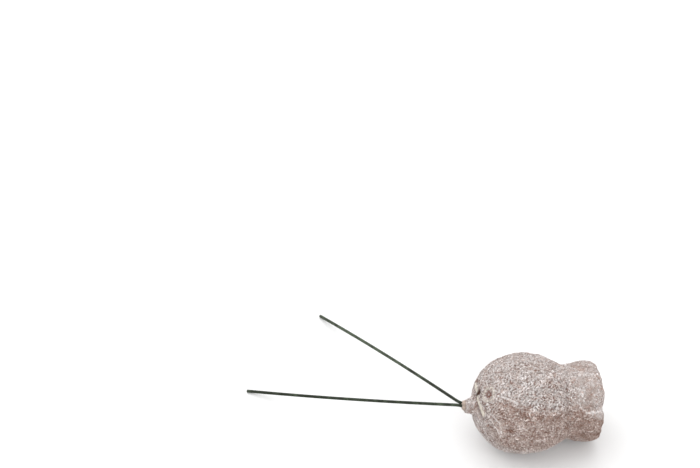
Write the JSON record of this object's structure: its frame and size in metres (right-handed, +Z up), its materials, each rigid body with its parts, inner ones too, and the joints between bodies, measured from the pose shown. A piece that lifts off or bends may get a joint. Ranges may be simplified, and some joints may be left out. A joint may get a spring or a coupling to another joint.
{
  "type": "dried gum nut on floral wire",
  "caption": "Dried woody gum nut with a flared open mouth and seed chamber, held at its stalk on a folded green florist's wire.",
  "frame": {"origin": "on the supporting surface, at the flat spot under the nut's belly", "axes": "+Z up, +X towards the nut's mouth, the wire's legs run to -X and +Y"},
  "size_m": [0.1005, 0.0761, 0.0296],
  "materials": {
    "woody_nut": "dry, matte, whitewashed wrinkled bark",
    "green_wire": "dark green lacquer, satin",
    "amber_glue": "dusty, clouded amber set glue"
  },
  "bodies": {
    "root": {"gum_nut": "woody_nut", "floral_wire": "green_wire", "glue_bead": "amber_glue"}
  },
  "joints": []
}
